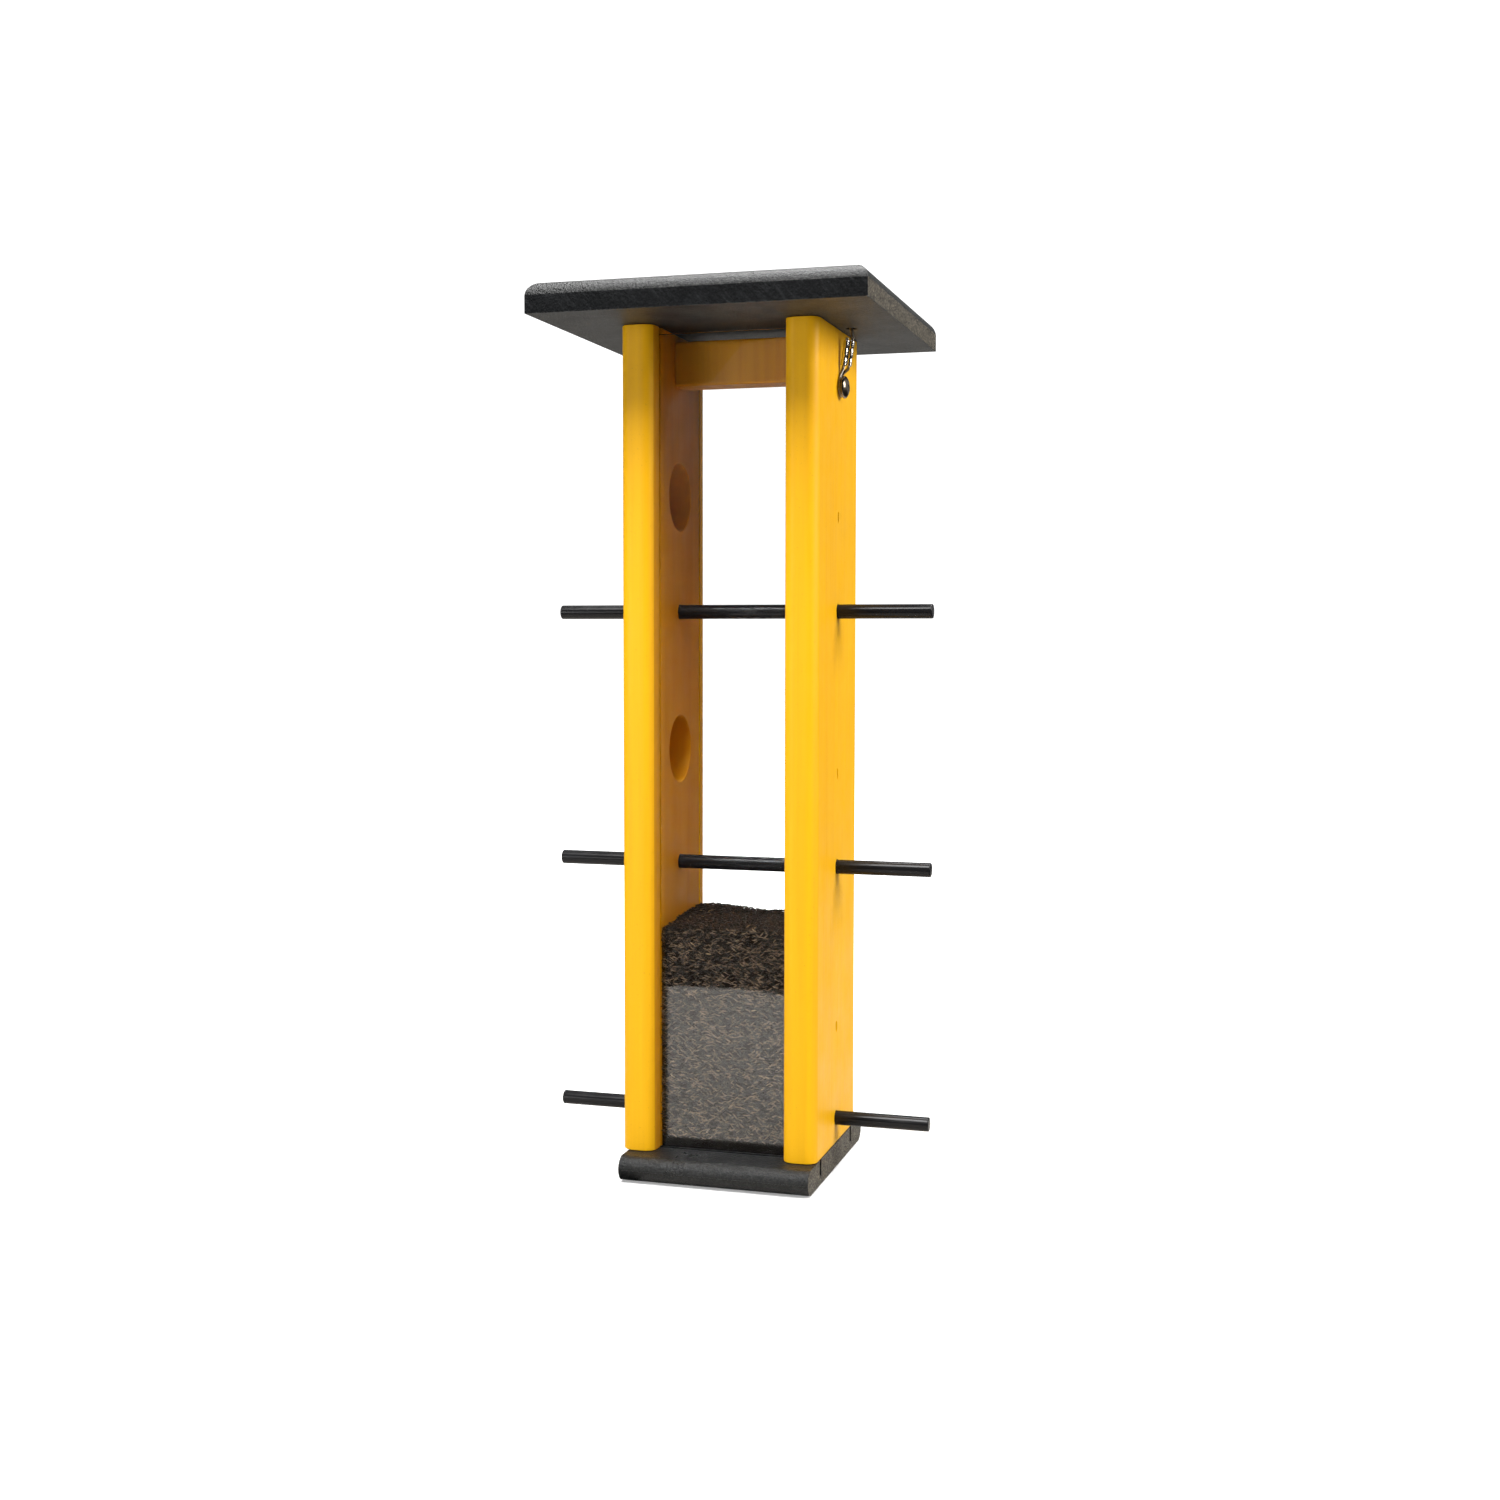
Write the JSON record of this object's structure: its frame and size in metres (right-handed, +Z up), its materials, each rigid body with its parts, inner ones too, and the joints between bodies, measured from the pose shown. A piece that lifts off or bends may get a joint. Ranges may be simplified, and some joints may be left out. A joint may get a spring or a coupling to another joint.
{
  "type": "hanging finch feeder",
  "caption": "Tall hanging seed feeder: two painted boards with clear panels between them, through perches under slit ports, a plank base and a square plank roof that lifts along a cable.",
  "frame": {"origin": "centre of the underside of the base, between the two boards", "axes": "+Z up along the boards, +X along the perches to the right, +Y to the back"},
  "size_m": [0.218, 0.184, 0.493],
  "materials": {
    "yellow_board": "satin yellow paint over planed board, faint vertical grain",
    "black_lumber": "recycled plastic lumber, satin skin and scratched sawn ends",
    "black_rod": "satin black rod",
    "clear_panel": "clear gloss sheet",
    "nyjer_seed": "loose dark brown seed",
    "screw_steel": "plated steel",
    "ferrule_metal": "bright crimped sleeve",
    "cable_steel": "stranded wire rope"
  },
  "bodies": {
    "housing": {"base": "black_lumber", "side_board_left": "yellow_board", "side_board_right": "yellow_board", "top_rail": "yellow_board", "panel_front": "clear_panel", "panel_back": "clear_panel", "perch_bottom": "black_rod", "perch_middle": "black_rod", "perch_top": "black_rod", "seed_fill": "nyjer_seed", "cable_screw_left": "screw_steel", "cable_screw_right": "screw_steel", "ferrule_left": "ferrule_metal", "ferrule_right": "ferrule_metal", "cable_eye_left": "cable_steel", "cable_eye_right": "cable_steel", "cable_leg_left": "cable_steel", "cable_leg_right": "cable_steel", "base_screw_left_front": "screw_steel", "base_screw_left_back": "screw_steel", "base_screw_right_front": "screw_steel", "base_screw_right_back": "screw_steel", "rail_nail_left_front": "screw_steel", "rail_nail_left_back": "screw_steel", "rail_nail_right_front": "screw_steel", "rail_nail_right_back": "screw_steel"},
    "roof": {"roof": "black_lumber", "cable_bail": "cable_steel"}
  },
  "joints": [
    {"name": "roof_lift", "type": "slide", "parent": "housing", "child": "roof", "axis": [0, 0, 1], "range_m": [0, 0.09]}
  ]
}
